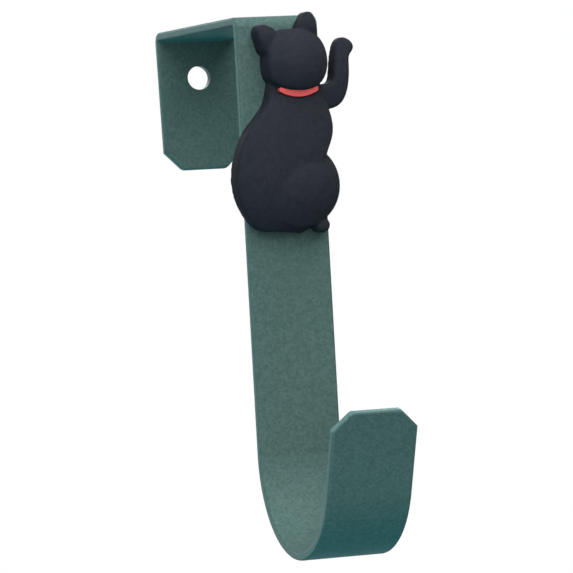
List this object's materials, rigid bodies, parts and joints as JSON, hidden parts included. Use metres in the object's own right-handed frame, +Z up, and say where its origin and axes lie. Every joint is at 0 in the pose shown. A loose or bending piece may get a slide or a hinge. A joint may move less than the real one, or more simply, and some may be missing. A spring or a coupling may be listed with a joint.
{
  "type": "over door hook",
  "caption": "Folded steel strip that hooks over the top of a door, with a J at the bottom for a coat or bag and a moulded cat relief with a collar on its front.",
  "frame": {"origin": "middle of the underside of the top plate, where it sits on the top of the door", "axes": "+Z up, -Y towards the room, +X to the right of someone who faces the hook"},
  "size_m": [0.0245, 0.0867, 0.0986],
  "materials": {
    "strip_coating": "matt dark blue-green powder coat with a fine texture",
    "figure_plastic": "matt charcoal soft plastic",
    "collar_plastic": "satin red soft plastic"
  },
  "bodies": {
    "root": {"door_hook_strip": "strip_coating", "cat_figure": "figure_plastic", "collar": "collar_plastic"}
  },
  "joints": []
}
